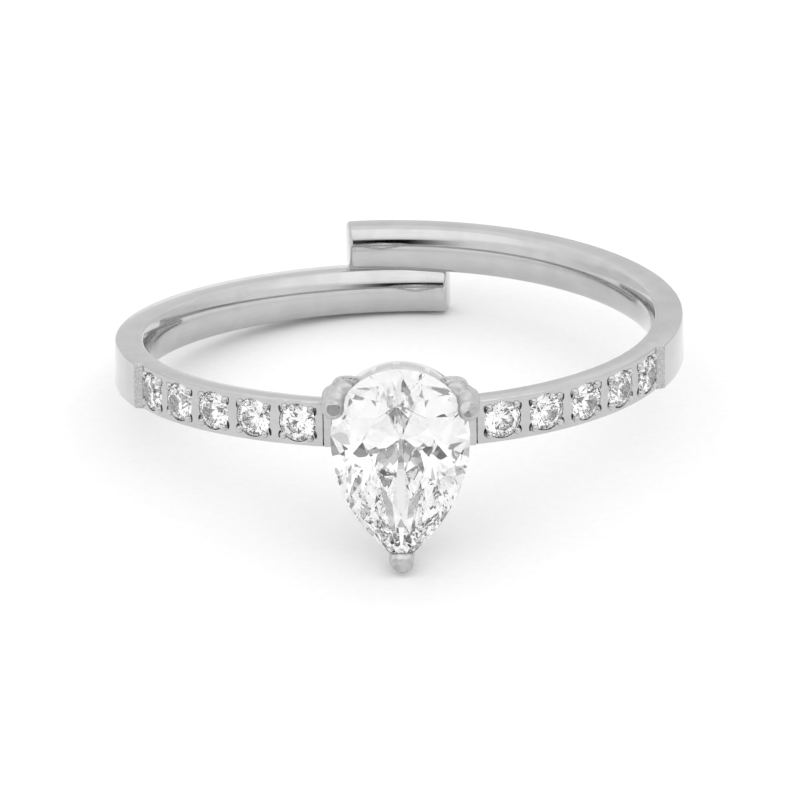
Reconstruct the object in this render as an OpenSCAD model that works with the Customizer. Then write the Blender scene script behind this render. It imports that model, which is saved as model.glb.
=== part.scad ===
// Open pave ring with a pear stone, lying on its side as it rests on a table.
// The band is one strip of steel bent once round the finger, and its two arms pass each other at the back.
// The ring's own frame has X to the right, Y away from the pear stone and Z along the finger.
// rest() leans the ring until it lies on the claw at the pear's point and on the lower arm.

/* [Band] */
// Width across the outside of the band, from side to side
outer_width = 20.86; // [20.6:0.02:21.2]
// Radius of the outer wall through the stones
front_radius = 10.73; // [10.65:0.01:10.85]
// Radius of the outer wall at the back, where the arms pass each other
back_radius = 11.04; // [10.95:0.01:11.15]
// Height of the band along the finger
band_height = 1.68; // [1.64:0.02:1.8]
// Width of the flat top and bottom sides of the band
side_width = 1.0; // [0.95:0.01:1.1]
// How far the rounded inner wall swells past the flat sides
inner_swell = 0.28; // [0.22:0.01:0.34]
// Radius of the band's outer edges
edge_radius = 0.12; // [0.08:0.01:0.16]
// Tilt of each arm out of the ring's plane, one up and one down, in degrees
arm_tilt = 2.45; // [2.45:0.01:2.7]
// Turn from the front at which each arm ends, in degrees
arm_end = 187.7; // [184:0.1:190]

/* [Pave] */
// Small stones on each arm
small_stones = 5; // [3:1:5]
// How deep the outer wall is cut back along the small stones
pave_recess = 0.23; // [0.15:0.01:0.25]
// Length of wall from the middle of the ring to the first small stone
first_stone = 3.78; // [3.7:0.01:3.9]
// Length of wall from one small stone to the next
stone_pitch = 1.775; // [1.74:0.005:1.78]
// Length of wall from the middle of the ring to the end of the recess
recess_length = 11.9; // [11.8:0.05:12.2]
// Width of a small stone
small_width = 1.38; // [1.3:0.02:1.4]
// Radius of the grains of metal that hold the small stones
bead_radius = 0.13; // [0.1:0.01:0.14]

/* [Pear stone] */
// Width of the pear stone
pear_width = 5.0; // [4.9:0.05:5.1]
// Length of the pear stone
pear_length = 7.2; // [7:0.05:7.3]
// Height of the crown above the girdle
crown_height = 0.8; // [0.7:0.05:0.9]
// Depth of the pavilion below the girdle
pavilion_depth = 2.05; // [1.9:0.05:2.1]
// How far the girdle stands in front of the band's outer wall
girdle_stand = 1.6; // [1.55:0.05:1.7]
// Height of the middle of the round end above the middle of the band
pear_raise = 0.25; // [0.2:0.01:0.3]

/* [Head] */
// Width of the head block that joins the two arms
head_width = 5.6; // [5.4:0.05:5.7]
// Thickness of the basket wall round the pear stone
basket_wall = 0.45; // [0.4:0.05:0.55]
// Depth of the basket wall behind the girdle
basket_depth = 1.05; // [1:0.05:1.2]
// Radius of the two claws at the round end
side_claw_radius = 0.41; // [0.38:0.01:0.44]
// Radius of the claw at the point
point_claw_radius = 0.46; // [0.44:0.01:0.5]
// Place of the side claws, in degrees above the widest line of the pear
side_claw_rise = 26; // [24:1:30]

/* [Hidden] */
$fn = 96;

// Gap left between each stone and the metal
gap = 0.03;

// Band outline: three arcs that meet smoothly, told by the turn from the front in degrees
front_turn = 45;
side_turn = 115;
half_width = outer_width / 2;
side_radius = (half_width - front_radius * sin(front_turn)) / (1 - sin(front_turn));
front_centre = [0, front_radius - half_width];
side_centre = front_centre + (front_radius - side_radius) * toward(front_turn);
back_centre = side_centre + (side_radius - back_radius) * toward(side_turn);
band_thickness = side_width + inner_swell;
swell_radius = (pow(band_height / 2, 2) + pow(inner_swell, 2)) / (2 * inner_swell);
tilt_pivot = band_thickness / 2 - half_width;
// Where two arcs meet, one runs on by this turn inside the other, which is a hair larger
lap = 0.5;
hair = 0.01;

// Recess: lengths of wall are measured on its floor
floor_edge_radius = 0.04;
front_run = (front_radius - pave_recess) * front_turn * PI / 180;
recess_end = turn_at(recess_length);

// Small stone: eight main facets, its heights as shares of its width
small_mains = [for (i = [0 : 7]) 45 * i];
small_table = [for (a = small_mains) 0.56];
small_crown = 0.15 * small_width;
small_girdle = 0.04 * small_width;
small_pavilion = 0.43 * small_width;
// Depth of the top of its girdle below the floor of the recess
small_sink = 0.05;
seat_radius = small_width / 2 + gap;
seat_end_radius = 0.12;
seat_depth = small_sink + small_girdle + small_pavilion + gap;
crown_slope = small_crown / (small_width / 2 * (1 - small_table[0]));
// The middle of each grain lies this far outside the stone's edge, and this far below the floor
bead_outset = 0.05;
bead_sink = 0.02;

// Pear outline: half a circle and two long arcs that meet at the point
pear_round = pear_width / 2;
pear_point = pear_length - pear_round;
pear_arc = (pow(pear_point, 2) + pow(pear_round, 2)) / (2 * pear_round);
pear_shift = pear_arc - pear_round;
pear_girdle = 0.09;
// Directions of its main facets, from the right side round by the top
pear_mains = [0, 45, 90, 135, 180, 230, 270, 310];
// Share of the outline that the table reaches in each of those directions
pear_table = [0.58, 0.58, 0.58, 0.58, 0.58, 0.52, 0.59, 0.52];
// Drop of the pavilion's point below the middle of the round end
culet_drop = 0.35;

// Facets of both cuts: where crown and pavilion facets meet between two mains
crown_meet = 0.8;
crown_meet_rise = 0.6;
pavilion_meet = 0.25;
pavilion_meet_fall = 0.78;

// Head: depths are measured from the middle of the girdle, outwards
girdle_front = half_width + girdle_stand;
head_turn = asin(head_width / 2 / front_radius);
// The arms run this far into the head block, in degrees
arm_bite = 1.5;
// The head block stands proud of the arms by the thickness of its soldered seam
head_proud = 0.05;
// The block ends this far behind the girdle, inside the basket, and a cove at each side meets the seam
block_setback = 0.75;
block_front = girdle_front - block_setback;
cove = 0.4;
block_half_width = (front_radius - pave_recess) * sin(head_turn) - cove;
seam_front = (front_radius - pave_recess) * cos(head_turn) - front_centre[1];
// The middle of a side claw lies outside the pear's outline, and that of the point claw as far inside it
claw_outset = 0.17;
claw_reach = pear_round + claw_outset;
point_claw_reach = pear_point - claw_outset;
claw_front = 0.68;
side_claw_back = -1.1;
point_claw_back = point_claw_radius - basket_depth;
// Radius of the flat that is filed on the front of a side claw and of the point claw
side_claw_flat = 0.24;
point_claw_flat = 0.4;
// A gusset swells out behind each side claw and joins it to the basket's rim
gusset_radius = 0.41;
gusset_rise = side_claw_rise + 14;
gusset_back = -0.4;
gusset_front = -0.3;

// Resting pose: the lean that lays the point claw and the edge of the lower arm on one plane
claw_rest = [point_claw_back + girdle_front, point_claw_reach - pear_raise];
edge_rest = [back_centre[1] + back_radius - edge_radius, band_height / 2 - edge_radius];
lower_arm_rest = (edge_rest[0] - tilt_pivot) * sin(arm_tilt) + edge_rest[1] * cos(arm_tilt);
rest_span = [edge_rest[0] + claw_rest[0], claw_rest[1] - lower_arm_rest];
rest_lean = atan(rest_span[1] / rest_span[0])
            + asin((point_claw_radius - edge_radius) / norm(rest_span));
rest_lift = claw_rest[1] * cos(rest_lean) - claw_rest[0] * sin(rest_lean) + point_claw_radius;
// Middle of the leaning ring's length, from the point claw's front to the back of the upper arm
lean_front = (girdle_front + claw_front) * cos(rest_lean) + (claw_rest[1] + point_claw_flat) * sin(rest_lean);
lean_back = edge_rest[0] * cos(rest_lean) + lower_arm_rest * sin(rest_lean) + edge_radius;
rest_shift = (lean_front - lean_back) / 2;

SIDES = ["left", "right"];

function stone_name(side, i) = str("small_stone_", side, "_", i);

// Direction out of the ring at a turn from the front, for the right arm
function toward(turn) = [sin(turn), -cos(turn)];

// Turn from the front after a length of wall
function turn_at(wall) =
    wall < front_run ? wall / (front_radius - pave_recess) * 180 / PI
                     : front_turn + (wall - front_run) / (side_radius - pave_recess) * 180 / PI;
function stone_turn(i) = turn_at(first_stone + (i - 1) * stone_pitch);

// Distance from the middle of a stone to its outline, in a direction
round_reach = function (a) small_width / 2;
pear_reach = function (a)
    sin(a) >= 0 ? pear_round
                : sqrt(pow(pear_shift * cos(a), 2) + pow(pear_arc, 2) - pow(pear_shift, 2))
                  - pear_shift * abs(cos(a));

function place(a, r, z) = [r * cos(a), r * sin(a), z];

// Direction a share of the way from one main facet to the next
function past_main(mains, i, share) =
    mains[i] + share * ((i + 1 < len(mains) ? mains[i + 1] : mains[0] + 360) - mains[i]);

// Leans the ring to its resting pose, with the middle of its length and width over the origin
module rest() {
    translate([0, rest_shift, rest_lift])
        rotate([-rest_lean, 0, 0])
            children();
}

// Carries a shape made for the right arm to either arm, tilted as that arm is
module on_arm(side) {
    translate([0, tilt_pivot, 0])
        rotate([side == "left" ? -arm_tilt : arm_tilt, 0, 0])
            translate([0, -tilt_pivot, 0])
                mirror([side == "left" ? 1 : 0, 0, 0])
                    children();
}

// Stands a shape on the floor of the recess, its own Z pointing out of the ring
module on_floor(turn) {
    centre = turn < front_turn ? front_centre : side_centre;
    radius = turn < front_turn ? front_radius : side_radius;
    translate([centre[0], centre[1], 0])
        rotate([0, 0, turn])
            translate([0, pave_recess - radius, 0])
                rotate([90, 0, 0])
                    children();
}

// Stands a shape on the pear's girdle plane, its own Z pointing out of the ring and its Y along the finger
module in_head() {
    translate([0, -girdle_front, pear_raise])
        rotate([90, 0, 0])
            children();
}

// A cut stone: table, crown, girdle and pavilion, its girdle centred on Z = 0 and swollen by grow
module cut_stone(mains, table, reach, crown, girdle, pavilion, drop, grow = 0) {
    count = len(mains);
    top = girdle / 2 + crown + grow;
    bottom = -girdle / 2 - pavilion - 2 * grow;
    mids = [for (i = [0 : count - 1]) past_main(mains, i, 0.5)];
    rim = [for (i = [0 : count - 1]) for (share = [0, 0.25, 0.5, 0.75]) past_main(mains, i, share)];
    points = concat(
        [for (i = [0 : count - 1]) place(mains[i], table[i] * reach(mains[i]) + grow / 2, top)],
        [for (a = mids) place(a, crown_meet * reach(a) + grow, girdle / 2 + crown_meet_rise * crown)],
        [for (a = rim) place(a, reach(a) + grow, girdle / 2 + grow / 2)],
        [for (a = rim) place(a, reach(a) + grow, -girdle / 2 - grow / 2)],
        [for (a = mids) place(a, pavilion_meet * reach(a), pavilion_meet_fall * bottom) - [0, drop, 0]],
        [[0, -drop, bottom]]);
    hull()
        polyhedron(points, [[for (i = [0 : len(points) - 1]) i]]);
}

module pear_cut(grow) {
    in_head()
        cut_stone(pear_mains, pear_table, pear_reach, crown_height, pear_girdle, pavilion_depth,
                  culet_drop, grow);
}

// The pear's outline as a flat shape, drawn in by inset
module pear_outline(inset) {
    intersection() {
        circle(pear_round - inset);
        translate([-pear_round, 0])
            square([2 * pear_round, pear_round]);
    }
    intersection() {
        translate([-pear_shift, 0])
            circle(pear_arc - inset);
        translate([pear_shift, 0])
            circle(pear_arc - inset);
        translate([-pear_round, -pear_point])
            square([2 * pear_round, pear_point]);
    }
}

// Section of the band: flat sides, an outer wall cut back by recess and a rounded inner wall
module section(radius, recess, corner, proud) {
    half = band_height / 2 + proud;
    outer = radius - recess + proud;
    inner = radius - side_width;
    translate([inner, -half])
        square([outer - corner - inner, 2 * half]);
    translate([outer - 2 * corner, corner - half])
        square([2 * corner, 2 * (half - corner)]);
    for (up = [-1, 1])
        translate([outer - corner, up * (half - corner)])
            circle(corner);
    intersection() {
        translate([inner - inner_swell + swell_radius, 0])
            circle(swell_radius + proud);
        translate([inner - 2 * inner_swell, -half])
            square([2 * inner_swell + corner, 2 * half]);
    }
}

// One arc of the band, from one turn to another
module arc(centre, radius, from, to, recess = 0, corner = edge_radius, proud = 0) {
    translate([centre[0], centre[1], 0])
        rotate([0, 0, from - 90])
            rotate_extrude(angle = to - from)
                section(radius, recess, corner, proud);
}

module arm() {
    arc(front_centre, front_radius, head_turn - arm_bite, front_turn + lap, pave_recess, floor_edge_radius);
    arc(side_centre, side_radius, front_turn, recess_end + lap, pave_recess, floor_edge_radius, hair);
    arc(side_centre, side_radius, recess_end, side_turn, proud = 2 * hair);
    arc(back_centre, back_radius, side_turn - lap, arm_end);
}

// Four grains of metal raised round each small stone and pushed over its edge
module beads() {
    for (i = [1 : small_stones])
        on_floor(stone_turn(i))
            for (a = [45 : 90 : 315])
                rotate([0, 0, a])
                    translate([small_width / 2 + bead_outset, 0, -bead_sink])
                        sphere(bead_radius, $fn = 32);
}

// Seat of a small stone: a drilled hole with a cone under the girdle, and the room over the crown
module seat() {
    translate([0, 0, -seat_depth])
        cylinder(h = seat_depth - small_sink - small_girdle, r1 = seat_end_radius, r2 = seat_radius);
    translate([0, 0, -small_sink - small_girdle])
        cylinder(h = small_girdle + gap, r = seat_radius);
    translate([0, 0, gap - small_sink])
        cylinder(h = seat_radius * crown_slope, r1 = seat_radius, r2 = 0);
}

// A round wire along the head's Z, rounded at its back end, and domed and filed flat in front
module claw(radius, back, front, flat) {
    dome = front - sqrt(pow(radius, 2) - pow(flat, 2));
    rotate_extrude()
        intersection() {
            union() {
                translate([0, back])
                    circle(radius);
                translate([0, back])
                    square([radius, dome - back]);
                translate([0, dome])
                    circle(radius);
            }
            translate([0, back - radius])
                square([radius, front - back + radius]);
        }
}

module claws() {
    for (a = [side_claw_rise, 180 - side_claw_rise])
        rotate([0, 0, a])
            translate([claw_reach, 0, 0])
                claw(side_claw_radius, side_claw_back, claw_front, side_claw_flat);
    for (a = [gusset_rise, 180 - gusset_rise])
        rotate([0, 0, a])
            translate([claw_reach, 0, 0])
                claw(gusset_radius, gusset_back, gusset_front + gusset_radius, 0);
    translate([0, -point_claw_reach, 0])
        claw(point_claw_radius, point_claw_back, claw_front, point_claw_flat);
}

module basket() {
    translate([0, 0, -basket_depth])
        linear_extrude(basket_depth)
            difference() {
                pear_outline(0);
                pear_outline(basket_wall);
            }
}

// The block behind the basket: it joins the two arms, and a cove at each side flares out to the seam
module head_block() {
    arc(front_centre, front_radius, -head_turn, head_turn, pave_recess, floor_edge_radius, head_proud);
    translate([0, 0, -band_height / 2])
        linear_extrude(band_height)
            difference() {
                union() {
                    translate([-block_half_width, -block_front])
                        square([2 * block_half_width, block_front - seam_front + band_thickness / 2]);
                    translate([-block_half_width - cove, -seam_front - cove])
                        square([2 * (block_half_width + cove), cove + band_thickness / 2]);
                }
                for (side = [-1, 1])
                    translate([side * (block_half_width + cove), -seam_front - cove])
                        circle(cove - gap);
            }
}

// All the metal, soldered into one piece
module band() {
    color("silver")
        rest()
            difference() {
                union() {
                    for (side = SIDES)
                        on_arm(side) {
                            arm();
                            beads();
                        }
                    head_block();
                    in_head() {
                        basket();
                        claws();
                    }
                }
                pear_cut(gap);
                for (side = SIDES)
                    on_arm(side)
                        for (i = [1 : small_stones])
                            on_floor(stone_turn(i))
                                seat();
            }
}

module pear_stone() {
    color("white")
        rest()
            pear_cut(0);
}

// A round brilliant, its girdle just under the floor of the recess
module small_stone(side, i) {
    color("white")
        rest()
            on_arm(side)
                on_floor(stone_turn(i))
                    translate([0, 0, -small_sink - small_girdle / 2])
                        cut_stone(small_mains, small_table, round_reach, small_crown, small_girdle,
                                  small_pavilion, 0);
}

band();
pear_stone();
for (side = SIDES) for (i = [1 : small_stones])
    small_stone(side, i);
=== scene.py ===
# Open pave ring with a pear stone, lying on its side on a pale table.
# Every piece is modelled in millimetres in the ring's upright frame, with X to the right, Y away
# from the pear stone and Z along the finger. lay_down() then leans it and sets it on the table.
import random
from math import asin, cos, degrees, hypot, radians, sin

import bmesh
import bpy
from mathutils import Matrix, Vector


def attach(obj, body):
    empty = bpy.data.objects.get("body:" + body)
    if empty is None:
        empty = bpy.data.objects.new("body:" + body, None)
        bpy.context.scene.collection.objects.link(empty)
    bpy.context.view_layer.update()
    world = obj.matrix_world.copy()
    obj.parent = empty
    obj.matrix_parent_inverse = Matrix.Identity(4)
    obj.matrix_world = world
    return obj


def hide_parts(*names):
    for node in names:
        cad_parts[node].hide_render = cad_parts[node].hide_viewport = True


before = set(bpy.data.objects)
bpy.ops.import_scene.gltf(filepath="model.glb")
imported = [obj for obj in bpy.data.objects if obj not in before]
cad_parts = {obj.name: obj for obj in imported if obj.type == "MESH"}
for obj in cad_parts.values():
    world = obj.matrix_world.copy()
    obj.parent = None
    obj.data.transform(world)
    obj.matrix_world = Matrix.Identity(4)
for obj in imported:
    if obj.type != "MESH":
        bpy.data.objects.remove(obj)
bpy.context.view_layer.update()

# Band: two arms of polished steel strip with a rounded inner wall, each bent round half the finger.
# Each arm starts at the head block and passes the other at the back. Its outer wall is milled back
# in front, where the small stones sit, and the milled step is left with a grained face.
front_radius, side_radius, back_radius = 10.73, 9.70574, 11.03
front_turn, side_turn, arm_end = 45, 115, 187.7
band_height, side_width, inner_swell = 1.68, 1.0, 0.28
half_height, half_depth = band_height / 2, (side_width + inner_swell) / 2
outer_corner, inner_corner = 0.08, 0.05
ridge_share, ridge_rest = 2.21, 0.07
end_round, end_steps = 0.17, 5
pave_recess, recess_end, step_run = 0.23, 67.09, 1.4
block_turn, seam_gap = 15.1265, 0.27


def deselect():
    bpy.ops.object.select_all(action="DESELECT")


def choose(piece):
    """Makes a piece the only selected one."""
    deselect()
    piece.select_set(True)
    bpy.context.view_layer.objects.active = piece


def start(name, add, **size):
    """Adds a primitive with nothing else selected, and names it."""
    deselect()
    add(**size)
    piece = bpy.context.object
    piece.name = piece.data.name = name
    return piece


def copy_of(piece, name):
    """Copies a piece together with its mesh."""
    choose(piece)
    bpy.ops.object.duplicate()
    twin = bpy.context.object
    twin.name = twin.data.name = name
    return twin


def settle(piece):
    """Moves the object's place, turn and size into its mesh."""
    choose(piece)
    bpy.ops.object.transform_apply(location=True, rotation=True, scale=True)


def open_edit(piece):
    choose(piece)
    bpy.ops.object.mode_set(mode="EDIT")
    bpy.ops.mesh.select_all(action="DESELECT")


def close_edit():
    bpy.ops.object.mode_set(mode="OBJECT")


def pick(kind, test):
    """Selects the vertices, edges or faces that pass the test on their middle."""
    bpy.ops.mesh.select_all(action="DESELECT")
    bpy.ops.mesh.select_mode(type={"verts": "VERT", "edges": "EDGE", "faces": "FACE"}[kind])
    shape = bmesh.from_edit_mesh(bpy.context.edit_object.data)
    for item in getattr(shape, kind):
        corners = [item] if kind == "verts" else item.verts
        middle = sum((v.co for v in corners), Vector()) / len(corners)
        item.select_set(bool(test(middle, item)))
    shape.select_flush_mode()
    bmesh.update_edit_mesh(bpy.context.edit_object.data)


def turn_faces_out():
    """Makes all faces of the open mesh point outwards, as bending and mirroring can turn them inside out."""
    bpy.ops.mesh.select_all(action="SELECT")
    bpy.ops.mesh.normals_make_consistent(inside=False)


def toward(turn):
    """Direction out of the ring at a turn from the front, on the right arm."""
    return Vector((sin(radians(turn)), -cos(radians(turn)), 0))


# The band is three arcs that meet smoothly, flatter in front than at the sides
front_centre = Vector((0, 0.30, 0))
side_centre = front_centre + toward(front_turn) * (front_radius - side_radius)
back_centre = side_centre + toward(side_turn) * (side_radius - back_radius)


def band_section(name, turn, proud=0):
    """The strip's section in front as one flat face: a straight outer wall and a rounded inner wall."""
    out = toward(turn)
    inner_wall = front_radius - side_width
    depth = side_width - pave_recess + proud
    half = half_height + proud
    face = start(name, bpy.ops.mesh.primitive_plane_add, size=1, rotation=(0, radians(90), radians(turn)),
                 location=front_centre + out * (inner_wall + depth / 2))
    face.scale = (2 * half, depth, 1)
    settle(face)
    open_edit(face)

    # The inner wall is drawn out to a ridge, which a wide bevel rounds down to the swell
    ridge = ridge_share * (inner_swell + proud)
    ridge_round = hypot(half, ridge) - ridge_rest
    inner = lambda c: (c - front_centre).dot(out) < inner_wall + 0.01
    pick("edges", lambda c, e: inner(c))
    bpy.ops.mesh.subdivide(number_cuts=1)
    pick("verts", lambda c, v: inner(c) and abs(c.z) < 0.01)
    bpy.ops.transform.translate(value=-out * ridge)
    bpy.ops.mesh.bevel(offset=ridge_round, segments=14, affect="VERTICES", clamp_overlap=False)
    pick("verts", lambda c, v: inner(c) and abs(c.z) > half - 0.001)
    bpy.ops.mesh.bevel(offset=inner_corner, segments=3, affect="VERTICES")
    pick("verts", lambda c, v: (c - front_centre).dot(out) > inner_wall + 0.2)
    bpy.ops.mesh.bevel(offset=outer_corner, segments=3, affect="VERTICES")
    bpy.ops.mesh.select_all(action="SELECT")
    return face


def bend(centre, turn, steps):
    """Carries the selected section on round a centre, as the strip is bent."""
    bpy.ops.mesh.spin(steps=steps, angle=-radians(turn), center=centre, axis=(0, 0, 1))


def add_node(tree, kind, feeds=None, **fields):
    """Adds a node and feeds its sockets, each with a number, a colour or another node's output."""
    made = tree.nodes.new("ShaderNode" + kind)
    for field, value in fields.items():
        setattr(made, field, value)
    for socket, value in (feeds or {}).items():
        if isinstance(value, bpy.types.NodeSocket):
            tree.links.new(value, made.inputs[socket])
        else:
            made.inputs[socket].default_value = value
    return made


def arithmetic(tree, operation, *values):
    return add_node(tree, "Math", dict(enumerate(values)), operation=operation).outputs[0]


def mingle(tree, one, other, share):
    """Adds two patterns, the first by its share and the other by the rest."""
    return arithmetic(tree, "ADD", arithmetic(tree, "MULTIPLY", one, share),
                      arithmetic(tree, "MULTIPLY", other, 1 - share))


def spread(tree, value, low, high, to_low=0, to_high=1):
    """Spreads the span from low to high over another span, eased at both ends."""
    feeds = {0: value, 1: low, 2: high, 3: to_low, 4: to_high}
    return add_node(tree, "MapRange", feeds, interpolation_type="SMOOTHSTEP").outputs[0]


def new_effect(name, knobs):
    """Starts a shader node group with named numbers in, and a tone, a roughness and a height out."""
    group = bpy.data.node_groups.new(name, "ShaderNodeTree")
    for label, value in knobs.items():
        knob = group.interface.new_socket(label, in_out="INPUT", socket_type="NodeSocketFloat")
        knob.default_value = value
    for label in ("Tone", "Roughness", "Height"):
        group.interface.new_socket(label, in_out="OUTPUT", socket_type="NodeSocketFloat")
    return group, group.nodes.new("NodeGroupInput").outputs, group.nodes.new("NodeGroupOutput").inputs


def surface(name, effect, knobs, dark, light, relief, **plain):
    """A Principled surface: an effect mixes its two greys and gives its roughness and relief in metres."""
    made = bpy.data.materials.new(name)
    made.use_nodes = True
    tree = made.node_tree
    shader = tree.nodes["Principled BSDF"]
    for label, value in plain.items():
        shader.inputs[label.replace("_", " ")].default_value = value
    marks = add_node(tree, "Group", node_tree=effect)
    for label, value in knobs.items():
        marks.inputs[label].default_value = value
    feeds = {"Factor": marks.outputs["Tone"], "A": (dark, dark, dark, 1), "B": (light, light, light, 1)}
    colour = add_node(tree, "Mix", feeds, data_type="RGBA")
    bump = add_node(tree, "Bump", {"Height": marks.outputs["Height"], "Distance": relief})
    tree.links.new(colour.outputs["Result"], shader.inputs["Base Color"])
    tree.links.new(marks.outputs["Roughness"], shader.inputs["Roughness"])
    tree.links.new(bump.outputs["Normal"], shader.inputs["Normal"])
    return made


# Polish: fine lines left round the ring by the wheel, and soft clouds where it pressed more or less.
# Object coordinates are in metres, so they are counted in millimetres from the ring's middle.
rest_place = Vector((0, 1.53605, 3.07478))
lines_per_turn, cloud_share = 4, 0.65
polish, knob, result = new_effect("polish", {"Lines": 12, "Clouds": 0.8, "Smoothest": 0.06, "Roughest": 0.12})
spot = add_node(polish, "Mapping", {"Vector": add_node(polish, "TexCoord").outputs["Object"],
                                    "Location": -rest_place, "Scale": (1000, 1000, 1000)}).outputs[0]
parts = add_node(polish, "SeparateXYZ", {0: spot}).outputs
flat = add_node(polish, "CombineXYZ", {0: parts[0], 1: parts[1]}).outputs[0]
radius = add_node(polish, "VectorMath", {0: flat}, operation="LENGTH").outputs["Value"]
around = add_node(polish, "CombineXYZ", {
    0: arithmetic(polish, "MULTIPLY", arithmetic(polish, "ARCTAN2", parts[0], parts[1]), lines_per_turn),
    1: arithmetic(polish, "MULTIPLY", radius, knob["Lines"]),
    2: arithmetic(polish, "MULTIPLY", parts[2], knob["Lines"])}).outputs[0]
lines = add_node(polish, "TexNoise", {"Vector": around, "Scale": 1, "Detail": 3,
                                      "Roughness": 0.65}).outputs[0]
clouds = add_node(polish, "TexNoise", {"Vector": spot, "Scale": knob["Clouds"], "Detail": 4,
                                       "Distortion": 0.5}).outputs[0]
both = mingle(polish, clouds, lines, cloud_share)
polish.links.new(spread(polish, both, 0.36, 0.62), result["Tone"])
polish.links.new(spread(polish, both, 0.62, 0.38, knob["Smoothest"], knob["Roughest"]), result["Roughness"])
polish.links.new(lines, result["Height"])

# Grit: the broken surface that a mill or a graver leaves, of crumbs and small chips
crumb_share = 0.7
grit, knob, result = new_effect("grit", {"Size": 0.08, "Smoothest": 0.3, "Roughest": 0.5})
spot = add_node(grit, "VectorMath", {0: add_node(grit, "TexCoord").outputs["Object"], 3: 1000},
                operation="SCALE").outputs[0]
fineness = arithmetic(grit, "DIVIDE", 1, knob["Size"])
crumbs = add_node(grit, "TexNoise", {"Vector": spot, "Scale": fineness, "Detail": 3,
                                     "Roughness": 0.7}).outputs[0]
chips = add_node(grit, "TexVoronoi", {"Vector": spot, "Scale": fineness}).outputs["Distance"]
both = mingle(grit, crumbs, chips, crumb_share)
grit.links.new(spread(grit, both, 0.34, 0.66), result["Tone"])
grit.links.new(spread(grit, crumbs, 0.35, 0.65, knob["Roughest"], knob["Smoothest"]), result["Roughness"])
grit.links.new(both, result["Height"])

polished_steel = surface("polished_steel", polish, {}, 0.51, 0.56, 1.5e-7, Metallic=1)
# The graver cut's dark tone is painted shade for the pits and seams where shade falls; its grit is the cut's
# own rough face.
graver_cut_painted_shade = surface("graver_cut_painted_shade", grit, {"Size": 0.07, "Smoothest": 0.25}, 0.1, 0.42, 2e-5, Metallic=1)
milled_steel = surface("milled_steel", grit, {"Size": 0.05, "Smoothest": 0.32}, 0.36, 0.62, 7e-6, Metallic=1)
arm_finishes = (polished_steel, graver_cut_painted_shade, milled_steel)

right_arm = band_section("right_arm", block_turn + seam_gap)
for finish in arm_finishes:
    right_arm.data.materials.append(finish)
bend(front_centre, front_turn - block_turn - seam_gap, 60)
bend(side_centre, recess_end - step_run - front_turn, 42)
bend(side_centre, step_run, 1)

# The outer wall steps out to its full depth where the small stones end
step_out = toward(recess_end)
on_step = lambda c: abs((c - side_centre).normalized().cross(step_out).z) < 0.002 and c.x > 0
pick("verts", lambda c, v: on_step(c) and (c - side_centre).dot(step_out) > side_radius - pave_recess - 0.1)
bpy.ops.transform.translate(value=step_out * pave_recess)
pick("faces", lambda c, f: on_step(c) and f.normal.cross(step_out).length > 0.999 and abs(f.normal.z) < 0.01)
bend(side_centre, side_turn - recess_end, 48)

# The arm's end is rounded all round, in rings that each draw the section in a little more. A short
# straight ring comes first, so that the rounding's soft shading doesn't reach far along the wall.
turn_so_far, inset_so_far = arm_end - degrees(1.3 * end_round / back_radius), 0
bend(back_centre, turn_so_far - side_turn, 71)
for i in range(end_steps + 1):
    along = radians(90 * i / end_steps)
    turn = arm_end - degrees(end_round * (1 - sin(along)) / back_radius)
    inset = end_round * (1 - cos(along))
    bend(back_centre, turn - turn_so_far, 1)
    thinner, lower = ((half - inset) / (half - inset_so_far) for half in (half_depth, half_height))
    bpy.ops.transform.resize(value=(thinner, thinner, lower),
                             center_override=back_centre + toward(turn) * (back_radius - half_depth))
    turn_so_far, inset_so_far = turn, inset
turn_faces_out()

slope_out = toward(recess_end - step_run / 2)
on_slope = lambda c: abs((c - side_centre).normalized().cross(slope_out).z) < 0.011 and c.x > 0
pick("faces", lambda c, f: on_slope(c) and f.normal.dot(slope_out) > 0.2 and abs(f.normal.z) < 0.8)
right_arm.active_material_index = arm_finishes.index(milled_steel)
bpy.ops.object.material_slot_assign()
close_edit()
left_arm = copy_of(right_arm, "left_arm")

# Small stones: ten round brilliants of clear white cubic zirconia, each cut with a table, eight mains,
# eight stars and the halves between them. Each drops into a drilled seat just under the milled floor.
clear_zirconia = surface("clear_zirconia", polish, {"Lines": 30, "Smoothest": 0, "Roughest": 0.012},
                         0.86, 0.91, 2e-9, Transmission_Weight=1, IOR=2.16)
small_width = 1.38
small_radius = small_width / 2
small_girdle, small_crown, small_pavilion, small_sink = 0.055, 0.207, 0.593, 0.05
small_table_inset = small_radius * 0.44
star_length, small_lower_length = 0.45, 0.75
first_stone, stone_pitch, small_count = 3.78, 1.775, 5
arm_tilt, tilt_pivot = 2.45, Vector((0, -9.79, 0))
rest_lean = 8.15098


def facet(points, up):
    """Grinds one flat facet through three points, as on a lap. up is 1 for the crown and -1 below it."""
    face = (points[1] - points[0]).cross(points[2] - points[0]).normalized()
    if face.z * up < 0:
        face = -face
    bpy.ops.mesh.select_all(action="SELECT")
    bpy.ops.mesh.bisect(plane_co=points[0], plane_no=face, use_fill=True, clear_outer=True, threshold=1e-5)


def facing(turn):
    """Direction out of a stone at a turn, 0 to the right and 90 to the far side."""
    return Vector((cos(radians(turn)), sin(radians(turn)), 0))


def crossing(a, b):
    """Where two lines meet, each told by its direction in degrees and its distance from the middle."""
    (turn_a, far_a), (turn_b, far_b) = a, b
    na, nb = facing(turn_a), facing(turn_b)
    size = na.x * nb.y - na.y * nb.x
    return Vector(((far_a * nb.y - far_b * na.y) / size, (na.x * far_b - nb.x * far_a) / size, 0))


def main_places(outline, mains):
    """The outline's point, the way out and the way along at each main facet."""
    outs = [facing(turn) for turn in mains]
    return [outline(turn) for turn in mains], outs, [out.cross((0, 0, 1)) for out in outs]


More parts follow.
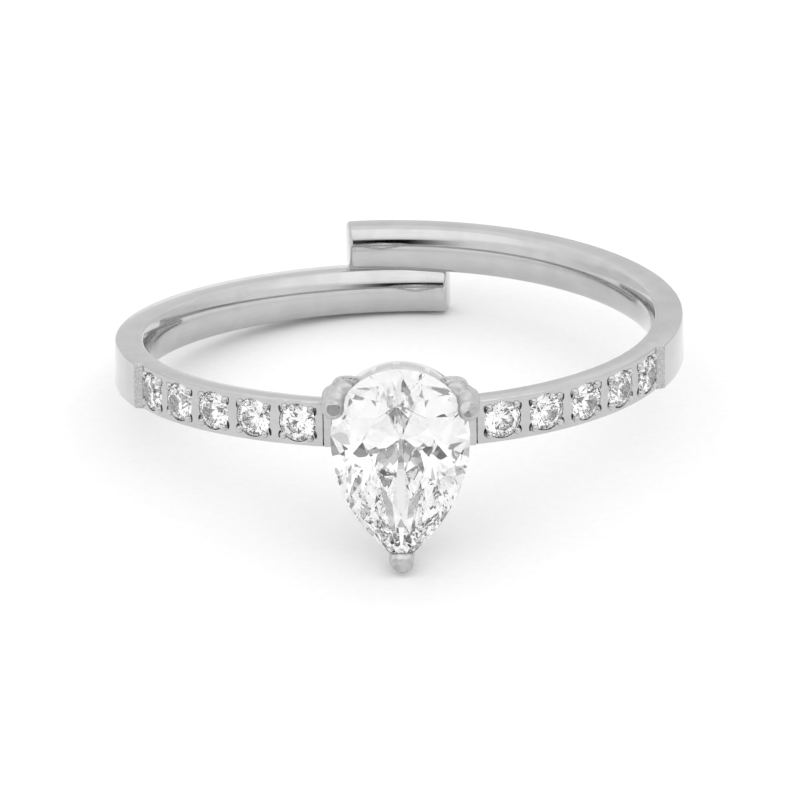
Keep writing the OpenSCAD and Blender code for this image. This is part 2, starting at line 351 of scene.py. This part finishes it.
def grind_crown(outline, mains, halves, insets, girdle, crown, star):
    """Grinds a main facet in each direction, down to the table, with a star and two halves between mains."""
    rim, outs, along = main_places(outline, mains)
    top, high = Vector((0, 0, girdle / 2)), Vector((0, 0, girdle / 2 + crown))
    table = [rim[i] - outs[i] * insets[i] + high for i in range(len(mains))]
    for i in range(len(mains)):
        facet([rim[i] + top, rim[i] + top + along[i], table[i]], 1)
    for i in range(len(mains)):
        j = (i + 1) % len(mains)
        reach = [rim[k].dot(outs[k]) for k in (i, j)]
        wide = crossing((mains[i], reach[0]), (mains[j], reach[1]))
        narrow = crossing((mains[i], reach[0] - insets[i]), (mains[j], reach[1] - insets[j]))
        meet = (wide + top).lerp(narrow + high, star)
        facet([meet, table[i], table[j]], 1)
        for k in (i, j):
            facet([meet, rim[k] + top, outline(halves[i]) + top], 1)


def grind_pavilion(outline, mains, halves, lifts, girdle, tip, lower):
    """Grinds a main facet from each direction to a lift above the tip, and two halves between mains."""
    rim, outs, along = main_places(outline, mains)
    top = Vector((0, 0, girdle / 2))
    for i in range(len(mains)):
        facet([rim[i] - top, rim[i] - top + along[i], tip + Vector((0, 0, lifts[i]))], -1)
    for i in range(len(mains)):
        j = (i + 1) % len(mains)
        wide = crossing(*[(mains[k], rim[k].dot(outs[k])) for k in (i, j)])
        deep = (wide - top).lerp(tip, lower)
        for k in (i, j):
            facet([deep, rim[k] - top, outline(halves[i]) - top], -1)


brilliant = start("brilliant", bpy.ops.mesh.primitive_cylinder_add, vertices=64, radius=small_radius,
                  depth=small_crown + small_girdle + small_pavilion,
                  location=(0, 0, (small_crown - small_pavilion) / 2))
settle(brilliant)
open_edit(brilliant)
brilliant_mains = [45 * i for i in range(8)]
brilliant_halves = [turn + 22.5 for turn in brilliant_mains]
brilliant_tip = Vector((0, 0, -small_girdle / 2 - small_pavilion))
round_outline = lambda turn: facing(turn) * small_radius
grind_crown(round_outline, brilliant_mains, brilliant_halves, [small_table_inset] * 8, small_girdle,
            small_crown, star_length)
grind_pavilion(round_outline, brilliant_mains, brilliant_halves, [0] * 8, small_girdle, brilliant_tip,
               small_lower_length)
close_edit()


def turn_at(wall):
    """Turn from the front after a length of wall, measured on the milled floor."""
    front_run = radians(front_turn) * (front_radius - pave_recess)
    if wall < front_run:
        return degrees(wall / (front_radius - pave_recess))
    return front_turn + degrees((wall - front_run) / (side_radius - pave_recess))


def on_floor(turn):
    """Place on the milled floor: X along the wall, Y along the finger and Z out of the ring."""
    centre, radius = (front_centre, front_radius) if turn < front_turn else (side_centre, side_radius)
    out = toward(turn)
    axes = Matrix((toward(turn + 90), (0, 0, 1), out)).transposed().to_4x4()
    return Matrix.Translation(centre + out * (radius - pave_recess)) @ axes


def arm_place(side):
    """Carries a shape made for the upright right arm to either arm, tilted as that arm is."""
    flip = Matrix.Scale(side, 4, (1, 0, 0))
    tilt = Matrix.Rotation(radians(side * arm_tilt), 4, "X")
    return Matrix.Translation(tilt_pivot) @ tilt @ Matrix.Translation(-tilt_pivot) @ flip


def lay_down(piece, place=Matrix.Identity(4)):
    """Leans a piece as the ring rests on the table, from millimetres to metres, and applies its place."""
    lean = Matrix.Translation(rest_place) @ Matrix.Rotation(-radians(rest_lean), 4, "X")
    piece.matrix_world = Matrix.Scale(0.001, 4) @ lean @ place
    settle(piece)
    if place.determinant() < 0:
        open_edit(piece)
        turn_faces_out()
        close_edit()


def belongs(piece, node):
    """Rides on the ring's one body and stands for a CAD node, whose part it hides."""
    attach(piece, "root")
    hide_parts(node)


stone_turns = [turn_at(first_stone + i * stone_pitch) for i in range(small_count)]
for side, label in ((-1, "left"), (1, "right")):
    for i, turn in enumerate(stone_turns):
        stone = copy_of(brilliant, f"brilliant_{label}_{i + 1}")
        sunk = Matrix.Translation((0, 0, -small_sink - small_girdle / 2))
        own_turn = Matrix.Rotation(radians(random.Random(f"{label}{i}").uniform(0, 45)), 4, "Z")
        lay_down(stone, arm_place(side) @ on_floor(turn) @ sunk @ own_turn)
        stone.data.materials.append(clear_zirconia)
        belongs(stone, f"small_stone_{label}_{i + 1}")
bpy.data.objects.remove(brilliant)

# Pave seats and grains: each small stone has a drilled seat, and four grains of metal are raised at its
# corners with a graver and pushed over its edge. The graver leaves a small pit beside each grain, painted
# dark as shade.
burnished_steel = surface("burnished_steel", grit, {"Size": 0.12, "Smoothest": 0.1, "Roughest": 0.2},
                          0.5, 0.6, 5e-6, Metallic=1)
seat_room, drill_height, drill_tip = 0.022, 0.5, 0.17
seat_floor = -small_sink - small_girdle - 0.01
cone_depth = small_pavilion + 0.03
grain_radius, grain_spread, grain_sink = 0.14, 0.74, 0.01
pit_radius, pit_along, pit_across = 0.08, 0.665, 0.44
pit_far, pit_near = 0.03, -0.015
room_beside, room_height, room_foot, room_depth = 0.03, 0.49, 0.02, 0.3


def smooth(piece, angle=30):
    choose(piece)
    bpy.ops.object.shade_smooth_by_angle(angle=radians(angle))


def cut_with(piece, cutter):
    """Cuts a piece with another solid by an applied Boolean, and throws the cutter away."""
    choose(piece)
    bpy.ops.object.modifier_add(type="BOOLEAN")
    step = piece.modifiers[-1]
    step.operation, step.object, step.solver = "DIFFERENCE", cutter, "EXACT"
    bpy.ops.object.modifier_apply(modifier=step.name)
    bpy.data.objects.remove(cutter)


def join(pieces, name):
    deselect()
    for piece in pieces:
        piece.select_set(True)
    bpy.context.view_layer.objects.active = pieces[0]
    bpy.ops.object.join()
    pieces[0].name = pieces[0].data.name = name
    return pieces[0]


def put(tool, name, place):
    """Sets a copy of a tool or grain at its place."""
    one = copy_of(tool, name)
    one.matrix_world = place
    settle(one)
    return one


# Drill: straight down to the girdle, then a cone that holds the pavilion
seat_tool = start("seat_tool", bpy.ops.mesh.primitive_cylinder_add, vertices=64,
                  radius=small_radius + seat_room, depth=drill_height,
                  location=(0, 0, drill_height / 2 + seat_floor))
settle(seat_tool)
open_edit(seat_tool)
pick("faces", lambda c, f: f.normal.z < -0.9)
bpy.ops.mesh.extrude_region_move(TRANSFORM_OT_translate={"value": (0, 0, -cone_depth)})
bpy.ops.transform.resize(value=(drill_tip, drill_tip, 1))
close_edit()

# Grain: a ball of metal, wider at its root, and drawn out on the side that leans over the stone
grain = start("grain", bpy.ops.mesh.primitive_uv_sphere_add, segments=24, ring_count=14, radius=grain_radius)
open_edit(grain)
pick("verts", lambda c, v: c.z < 0)
bpy.ops.transform.resize(value=(1.15, 1.15, 0.6), center_override=(0, 0, 0))
pick("verts", lambda c, v: c.x < -0.04)
bpy.ops.transform.resize(value=(1.25, 0.85, 0.9), center_override=(0, 0, 0))
close_edit()
smooth(grain, 60)

# Graver: a long narrow pit, steep on the stone's side
pit_tool = start("pit_tool", bpy.ops.mesh.primitive_uv_sphere_add, segments=20, ring_count=12,
                 radius=pit_radius)
open_edit(pit_tool)
bpy.ops.mesh.select_all(action="SELECT")
bpy.ops.transform.resize(value=(0.95, 2.0, 1.7))
pick("verts", lambda c, v: c.x < -0.01)
bpy.ops.transform.resize(value=(0.5, 1.0, 1.0), center_override=(0, 0, 0))
close_edit()

# Room for the stone in the grains that lean over its crown
room_tool = start("room_tool", bpy.ops.mesh.primitive_cone_add, vertices=64,
                  radius1=small_radius + room_beside, radius2=0, depth=room_height,
                  location=(0, 0, room_height / 2 - room_foot))
settle(room_tool)
open_edit(room_tool)
pick("faces", lambda c, f: f.normal.z < -0.9)
bpy.ops.mesh.extrude_region_move(TRANSFORM_OT_translate={"value": (0, 0, -room_depth)})
close_edit()

for side, label, arm in ((-1, "left", left_arm), (1, "right", right_arm)):
    hand = random.Random(label)
    seats, pits, grains, rooms = [], [], [], []
    for turn in stone_turns:
        spot = on_floor(turn)
        seats.append(put(seat_tool, "cut", spot))
        rooms.append(put(room_tool, "cut", spot))
        for corner in (45, 135, 225, 315):
            about = radians(corner + hand.uniform(-4, 4))
            push = Matrix.Translation((grain_spread * cos(about), grain_spread * sin(about), -grain_sink))
            grown = Matrix.Scale(hand.uniform(0.92, 1.05), 4)
            grains.append(put(grain, "one_grain", spot @ push @ Matrix.Rotation(about, 4, "Z") @ grown))
            way_x, way_y = (1 if cos(about) > 0 else -1), (1 if sin(about) > 0 else -1)
            shift = Matrix.Translation((way_x * (pit_along + hand.uniform(-0.015, 0.02)),
                                        way_y * (pit_across + hand.uniform(-0.04, 0.04)),
                                        pit_far if way_x > 0 else pit_near))
            lean = Matrix.Rotation(radians(-way_x * way_y * hand.uniform(2, 16)), 4, "Z")
            mirror = Matrix.Rotation(radians(180 if way_x < 0 else 0), 4, "Z")
            pits.append(put(pit_tool, "cut", spot @ shift @ lean @ mirror))
    cut_with(arm, join(seats, "cut"))
    pit_cutter = join(pits, "cut")
    # The pit faces take the graver cut finish, whose dark tone is painted shade in each pit.
    for face in pit_cutter.data.polygons:
        face.material_index = arm_finishes.index(graver_cut_painted_shade)
    for finish in (polished_steel, graver_cut_painted_shade):
        pit_cutter.data.materials.append(finish)
    cut_with(arm, pit_cutter)
    row = join(grains, f"{label}_grains")
    cut_with(row, join(rooms, "cut"))
    smooth(arm)
    smooth(row, 60)
    row.data.materials.append(burnished_steel)
    for piece in (arm, row):
        lay_down(piece, arm_place(side))
        belongs(piece, "band")
for tool in (seat_tool, grain, pit_tool, room_tool):
    bpy.data.objects.remove(tool)

# Pear stone: one clear white cubic zirconia, cut as a pear brilliant with a table, mains, stars and halves.
# Its girdle is held by the three claws, and its pavilion sinks into the basket.
pear_round, pear_point, pear_arc = 2.5, 4.7, 5.668
pear_shift = pear_arc - pear_round
point_turn = degrees(asin(pear_point / pear_arc))
pear_girdle, pear_crown, pear_pavilion = 0.09, 0.8, 2.05
pear_lower_length, table_edge, pear_room_beside = 0.73, 0.03, 0.025
girdle_front, pear_raise = 12.03, 0.25
in_head = Matrix.Translation((0, -girdle_front, pear_raise)) @ Matrix.Rotation(radians(90), 4, "X")


def pear_outline(turn):
    """Point of the pear's outline that faces a turn, 0 to the right and 90 to the round end."""
    a = radians(turn)
    if sin(a) >= 0:
        return facing(turn) * pear_round
    side = 1 if cos(a) > 1e-6 else -1 if cos(a) < -1e-6 else 0
    low = -min(asin(-sin(a)), radians(point_turn))
    return Vector((side * (pear_arc * cos(low) - pear_shift), pear_arc * sin(low), 0))


def round_the_pear(steps):
    """Carries what is selected at the pear's point up its right side, over the round end and back down."""
    bpy.ops.mesh.spin(steps=steps, angle=-radians(point_turn), center=(-pear_shift, 0, 0), axis=(0, 0, 1))
    bpy.ops.mesh.spin(steps=2 * steps, angle=-radians(180), center=(0, 0, 0), axis=(0, 0, 1))
    bpy.ops.mesh.spin(steps=steps, angle=-radians(point_turn), center=(pear_shift, 0, 0), axis=(0, 0, 1))


# Rough: an upright edge at the point, carried round the outline and closed above and below
pear = start("pear_brilliant", bpy.ops.mesh.primitive_plane_add, size=2, rotation=(radians(90), 0, 0))
pear.scale = (0.5, 1, 1)
pear.location = (0.5, -pear_point, 0)
settle(pear)
open_edit(pear)
pick("verts", lambda c, v: c.x > 0.1)
bpy.ops.mesh.delete(type="VERT")
high, low = pear_girdle / 2 + pear_crown, -pear_girdle / 2 - pear_pavilion - 0.01
bpy.ops.mesh.select_all(action="SELECT")
bpy.ops.transform.resize(value=(1, 1, (high - low) / 2))
bpy.ops.transform.translate(value=(0, 0, (high + low) / 2))
round_the_pear(30)
bpy.ops.mesh.select_all(action="SELECT")
bpy.ops.mesh.remove_doubles(threshold=1e-4)
for level in (high, low):
    pick("edges", lambda c, e: abs(c.z - level) < 1e-3 and len(e.link_faces) == 1)
    bpy.ops.mesh.edge_face_add()
turn_faces_out()

# Cut: the usual facets of a pear brilliant, from its right side over the round end and back by the point.
# The turns and insets are in that order, and the same seed gives the same unevenness each time.
cutter = random.Random("pear cutter 106")


def uneven(values, most):
    """The plain values of a design, each as far off as the cutter's hand leaves it."""
    return [value + cutter.uniform(-most, most) for value in values]


crown_mains = uneven([0, 45, 90, 135, 180, 209, 270, 331], 2)
crown_halves = uneven([22, 67, 113, 158, 195, 228, 312, 345], 2)
insets = uneven([1.2, 1.2, 1.1, 1.2, 1.2, 1.53, 1.95, 1.53], 0.05)
pavilion_mains = uneven([0, 40, 90, 140, 180, 216, 270, 324], 3)
pavilion_halves = uneven([22, 68, 112, 158, 195, 225, 315, 345], 3)
lifts = uneven([0.01] * 8, 0.05)
tip = Vector((0, -0.25, -pear_girdle / 2 - pear_pavilion))
grind_crown(pear_outline, crown_mains, crown_halves, insets, pear_girdle, pear_crown, star_length)
grind_pavilion(pear_outline, pavilion_mains, pavilion_halves, lifts, pear_girdle, tip, pear_lower_length)
pick("edges", lambda c, e: sorted(f.normal.z > 0.999 for f in e.link_faces) == [False, True])
bpy.ops.mesh.bevel(offset=table_edge, segments=2, affect="EDGES")
close_edit()

pear_room = copy_of(pear, "pear_room")
open_edit(pear_room)
bpy.ops.mesh.select_all(action="SELECT")
bpy.ops.transform.shrink_fatten(value=pear_room_beside, use_even_offset=True)
close_edit()
pear_room.matrix_world = in_head
settle(pear_room)
lay_down(pear, in_head)
pear.data.materials.append(clear_zirconia)
belongs(pear, "pear_stone")


def fit_round_pear(piece, angle=35):
    """Cuts the pear stone's room out of a piece of the head, and lays it down as a part of the band."""
    cut_with(piece, copy_of(pear_room, "cut"))
    smooth(piece, angle)
    lay_down(piece)
    belongs(piece, "band")


# Head block: a short piece of the same strip soldered between the two arms, with a fine seam at each end.
# A block stands on its front and flares out to the seams. The basket is brazed to it.
seam_depth, block_proud = 0.1, 0.012
plinth_half, cove, block_edge, block_root = 2.335, 0.4, 0.05, 0.4
block_front = girdle_front - 0.75
seam_front = (front_radius - pave_recess) * cos(radians(block_turn)) - front_centre.y
head_block = band_section("head_block", -block_turn, proud=block_proud)
bend(front_centre, 2 * block_turn, 60)
close_edit()
head_block.data.materials.append(polished_steel)
# A core under the head block shows through the seam gaps; its graver cut finish paints the seam's line dark
# as shade.
core = band_section("seam_core", -block_turn - 1, proud=-seam_depth)
bend(front_centre, 2 * block_turn + 2, 20)
close_edit()
core.data.materials.append(graver_cut_painted_shade)

plinth = start("plinth", bpy.ops.mesh.primitive_cube_add, size=1,
               location=(0, -(block_front + seam_front - block_root) / 2, 0))
plinth.scale = (2 * (plinth_half + cove), block_front - seam_front + block_root, band_height)
settle(plinth)
for side in (-1, 1):
    cove_tool = start("cut", bpy.ops.mesh.primitive_cylinder_add, vertices=96, radius=cove, depth=3,
                      location=(side * (plinth_half + cove), -seam_front - cove, 0))
    open_edit(cove_tool)
    pick("verts", lambda c, v: c.y < -0.001)
    bpy.ops.transform.translate(value=(0, -2, 0))
    close_edit()
    cut_with(plinth, cove_tool)
open_edit(plinth)
pick("edges", lambda c, e: abs(abs(c.z) - half_height) < 1e-3 and c.y < -seam_front - 0.02)
bpy.ops.mesh.bevel(offset=block_edge, segments=3, affect="EDGES")
close_edit()
plinth.data.materials.append(polished_steel)
for piece in (head_block, core, plinth):
    fit_round_pear(piece)

# Basket: a plain wall of polished steel, painted lighter than the band's, bent round the pear stone's outline
# and brazed to the head block. It carries the three claws. Its right half is bent and cut at the middle, and
# then mirrored.
# Its lighter tone is painted light, lifting the shade inside the basket that shows through the pear stone.
basket_steel_painted_light = surface("basket_steel_painted_light", polish, {}, 0.62, 0.68, 1.5e-7, Metallic=1)
basket_wall, basket_depth, basket_edge = 0.45, 1.05, 0.06
past_point = 9
basket = start("basket", bpy.ops.mesh.primitive_plane_add, size=1, rotation=(0, radians(90), 0))
basket.scale = (basket_depth, basket_wall, 1)
basket.location = (0, pear_round - basket_wall / 2, -basket_depth / 2)
settle(basket)
open_edit(basket)
bpy.ops.mesh.select_all(action="SELECT")
bpy.ops.mesh.bevel(offset=basket_edge, segments=3, affect="VERTICES")
bpy.ops.mesh.spin(steps=36, angle=radians(90), center=(0, 0, 0), axis=(0, 0, 1))
bpy.ops.mesh.spin(steps=30, angle=radians(point_turn + past_point), center=(-pear_shift, 0, 0),
                  axis=(0, 0, 1))
bpy.ops.mesh.select_all(action="SELECT")
bpy.ops.mesh.bisect(plane_co=(0, 0, 0), plane_no=(1, 0, 0), clear_inner=True, threshold=1e-5)
pick("faces", lambda c, f: all(abs(v.co.x) < 1e-4 for v in f.verts))
bpy.ops.mesh.delete(type="FACE")
close_edit()
choose(basket)
bpy.ops.object.modifier_add(type="MIRROR")
basket.modifiers[-1].merge_threshold = 1e-3
bpy.ops.object.modifier_apply(modifier=basket.modifiers[-1].name)
open_edit(basket)
turn_faces_out()
close_edit()
basket.data.materials.append(basket_steel_painted_light)
basket.matrix_world = in_head
settle(basket)
fit_round_pear(basket)

# Claws: three round wires brazed to the basket and bent over the girdle. Each side claw swells into a gusset
# that runs out along the basket's rim. Their ends are rounded, and then filed flat in front.
cast_steel = surface("cast_steel", grit, {"Size": 0.3, "Smoothest": 0.42, "Roughest": 0.52},
                     0.52, 0.6, 2.5e-6, Metallic=1)
# The filed flats are painted darker than the cast steel, as painted shade for the dark reflection they show;
# their lines and roughness are the file's own.
filed_steel_painted_shade = surface("filed_steel_painted_shade", polish, {"Lines": 22, "Clouds": 3, "Smoothest": 0.25, "Roughest": 0.4},
                      0.42, 0.56, 1.2e-6, Metallic=1)
claw_finishes = (cast_steel, filed_steel_painted_shade)
side_claw_radius, point_claw_radius = 0.41, 0.455
claw_front, claw_outset, claw_foot = 0.68, 0.17, -1.51
side_claw_reach = pear_round + claw_outset
point_claw_reach = pear_point - claw_outset
shoulder_radius, shoulder_back, shoulder_front, shoulder_outset, shoulder_turn = 0.33, -1.02, 0.36, 0.04, 7
gusset_radius, gusset_front, gusset_count = 0.4, 0.12, 6
side_spare, point_spare = 0.05, 0.2
cast_grain, smooth_rounds, facet_angle = 0.028, 24, 12


def rod(name, radius, back, front, reach, turn):
    """A round wire along the head's Z, rounded at both ends."""
    wire = start(name, bpy.ops.mesh.primitive_uv_sphere_add, segments=40, ring_count=20, radius=radius)
    open_edit(wire)
    pick("verts", lambda c, v: c.z > 1e-4)
    bpy.ops.transform.translate(value=(0, 0, front - radius))
    pick("verts", lambda c, v: c.z < -1e-4)
    bpy.ops.transform.translate(value=(0, 0, back + radius))
    pick("verts", lambda c, v: abs(c.z) <= 1e-4)
    bpy.ops.transform.translate(value=(0, 0, (front + back) / 2))
    bpy.ops.mesh.select_all(action="SELECT")
    bpy.ops.transform.translate(value=(reach, 0, 0))
    close_edit()
    wire.matrix_world = Matrix.Rotation(radians(turn), 4, "Z")
    settle(wire)
    return wire


def cast_together(pieces, name):
    """Melts pieces that overlap into one, with soft inner corners."""
    cast = join(pieces, name)
    choose(cast)
    bpy.ops.object.modifier_add(type="REMESH")
    cast.modifiers[-1].mode, cast.modifiers[-1].voxel_size = "VOXEL", cast_grain
    bpy.ops.object.modifier_apply(modifier=cast.modifiers[-1].name)
    bpy.ops.object.modifier_add(type="SMOOTH")
    cast.modifiers[-1].factor, cast.modifiers[-1].iterations = 0.5, smooth_rounds
    bpy.ops.object.modifier_apply(modifier=cast.modifiers[-1].name)
    return cast


def file_flat(claw, spot, face):
    """Files the claw's front back to a plane through a spot, and gives the flat the filed finish with its
    painted shade.
    """
    face = Vector(face).normalized()
    open_edit(claw)
    bpy.ops.mesh.select_all(action="SELECT")
    bpy.ops.mesh.bisect(plane_co=spot, plane_no=face, use_fill=True, clear_outer=True, threshold=1e-5)
    pick("faces", lambda c, f: f.normal.dot(face) > 0.99999 and abs((c - Vector(spot)).dot(face)) < 1e-4)
    claw.active_material_index = claw_finishes.index(filed_steel_painted_shade)
    bpy.ops.object.material_slot_assign()
    close_edit()


# Each side claw's gusset is six rods that get thinner and shorter as they run on round the rim. The right
# claw stands a little lower than the left one, and is filed to three flats, the left one to two.
claws = []
for side, label, rise, toe, heel in ((1, "right", 23, 16, -0.68), (-1, "left", 26, 14, -0.8)):
    turned = lambda turn: rise + turn if side > 0 else 180 - rise - turn
    rods = [rod(f"claw_{label}", side_claw_radius, claw_foot, claw_front + side_spare,
                side_claw_reach, turned(0)),
            rod("shoulder", shoulder_radius, shoulder_back, shoulder_front,
                side_claw_reach + shoulder_outset, turned(shoulder_turn))]
    for i in range(gusset_count):
        rods.append(rod("gusset", gusset_radius - 0.045 * i, 0.08 * i + heel, gusset_front - 0.05 * i,
                        side_claw_reach - 0.065 * i, turned(toe + 3 * i)))
    claw = cast_together(rods, f"claw_{label}")
    for finish in claw_finishes:
        claw.data.materials.append(finish)
    x, y = side * side_claw_reach * cos(radians(rise)), side_claw_reach * sin(radians(rise))
    if side > 0:
        ridge = (x, y + 0.1, claw_front - 0.045)
        for lean in ((0.28, 0.33, 1), (-0.2, 0.45, 1), (0, 0.2, 1)):
            file_flat(claw, ridge, lean)
    else:
        file_flat(claw, (x, y + 0.2, claw_front - 0.07), (0.1, 0.5, 1))
        file_flat(claw, (x, y - 0.02, claw_front - 0.03), (0.1, 0.2, 1))
    claws.append(claw)
point = rod("claw_point", point_claw_radius, -basket_depth, claw_front + point_spare, point_claw_reach, 270)
for finish in claw_finishes:
    point.data.materials.append(finish)
file_flat(point, (0, 0.245 - point_claw_reach, 0.51), (0, 1, -0.15))
file_flat(point, (0, 0.11 - point_claw_reach, claw_front), (0, 0.5, 1))
file_flat(point, (0, -point_claw_reach, claw_front), (0, 0, 1))
claws.append(point)
for claw in claws:
    claw.matrix_world = in_head
    settle(claw)
    fit_round_pear(claw, facet_angle)
bpy.data.objects.remove(pear_room)

# Table and studio: a sheet of white paper on a table inside a white tent. The tent is brightest overhead and
# in front, a little darker low down behind, and open in front, where the camera looks in.
table = start("table", bpy.ops.mesh.primitive_plane_add, size=3)
table.data.materials.append(surface("white_paper", grit, {"Size": 0.3, "Smoothest": 0.85, "Roughest": 0.95},
                                    0.93, 0.95, 3e-6))

world = bpy.data.worlds.new("tent")
bpy.context.scene.world = world
world.use_nodes = True
tent = world.node_tree
sky = tent.nodes["Background"]
way = add_node(tent, "SeparateXYZ", {0: add_node(tent, "TexCoord").outputs["Generated"]}).outputs
height = arithmetic(tent, "DEGREES", arithmetic(tent, "ARCSINE", way[2]))
turned_from_front = arithmetic(tent, "DEGREES", arithmetic(tent, "ARCTAN2", way[0],
                                                           arithmetic(tent, "MULTIPLY", way[1], -1)))
sideways = arithmetic(tent, "ABSOLUTE", turned_from_front)


def patch(*shares):
    """A patch of the tent, where all of its shares are high."""
    whole = shares[0]
    for share in shares[1:]:
        whole = arithmetic(tent, "MULTIPLY", whole, share)
    return whole


softbox_gain, behind_loss = 0.3, 0.2
overhead = spread(tent, height, 20, 80, 1.08, 1.2)
low_behind = patch(spread(tent, height, 12, 22, 1, 0), spread(tent, sideways, 70, 110))
softbox = patch(spread(tent, height, 24, 34), spread(tent, height, 60, 75, 1, 0),
                spread(tent, sideways, 50, 100, 1, 0))
opening = patch(spread(tent, height, 7, 9), spread(tent, height, 22, 25, 1, 0),
                spread(tent, sideways, 8, 42, 1, 0))
glow = arithmetic(tent, "ADD", overhead, arithmetic(tent, "MULTIPLY", softbox, softbox_gain))
glow = arithmetic(tent, "SUBTRACT", glow, arithmetic(tent, "MULTIPLY", low_behind, behind_loss))
glow = arithmetic(tent, "MULTIPLY", glow, arithmetic(tent, "SUBTRACT", 1, opening))
tent.links.new(glow, sky.inputs["Strength"])
sky.inputs["Color"].default_value = (1, 1, 1, 1)

# Camera: in front of the pear stone, 17.4 degrees above the ring's own plane, and shifted as the photograph's
# frame is. The stones need many bounces of light inside them.
elevation, distance, roll, frame_width = 17.43 + rest_lean, 0.437, -0.71, 800
shift_right, shift_up = 0.9, -58.2
aim = rest_place * 0.001
back = Vector((0, -cos(radians(elevation)), sin(radians(elevation))))
camera_data = bpy.data.cameras.new("camera")
camera = bpy.data.objects.new("camera", camera_data)
bpy.context.scene.collection.objects.link(camera)
camera_data.lens = 535.3
camera_data.sensor_width = 36
camera_data.clip_start, camera_data.clip_end = 0.01, 10
looking = (-back).to_track_quat("-Z", "Y").to_matrix().to_4x4()
camera.matrix_world = (Matrix.Translation(aim + back * distance) @ looking
                       @ Matrix.Rotation(radians(roll), 4, "Z"))
camera_data.shift_x = shift_right / frame_width
camera_data.shift_y = shift_up / frame_width
bpy.context.scene.camera = camera
scene = bpy.context.scene
scene.view_settings.view_transform = "Standard"
scene.cycles.max_bounces = 48
scene.cycles.transmission_bounces = 48
scene.cycles.glossy_bounces = 20
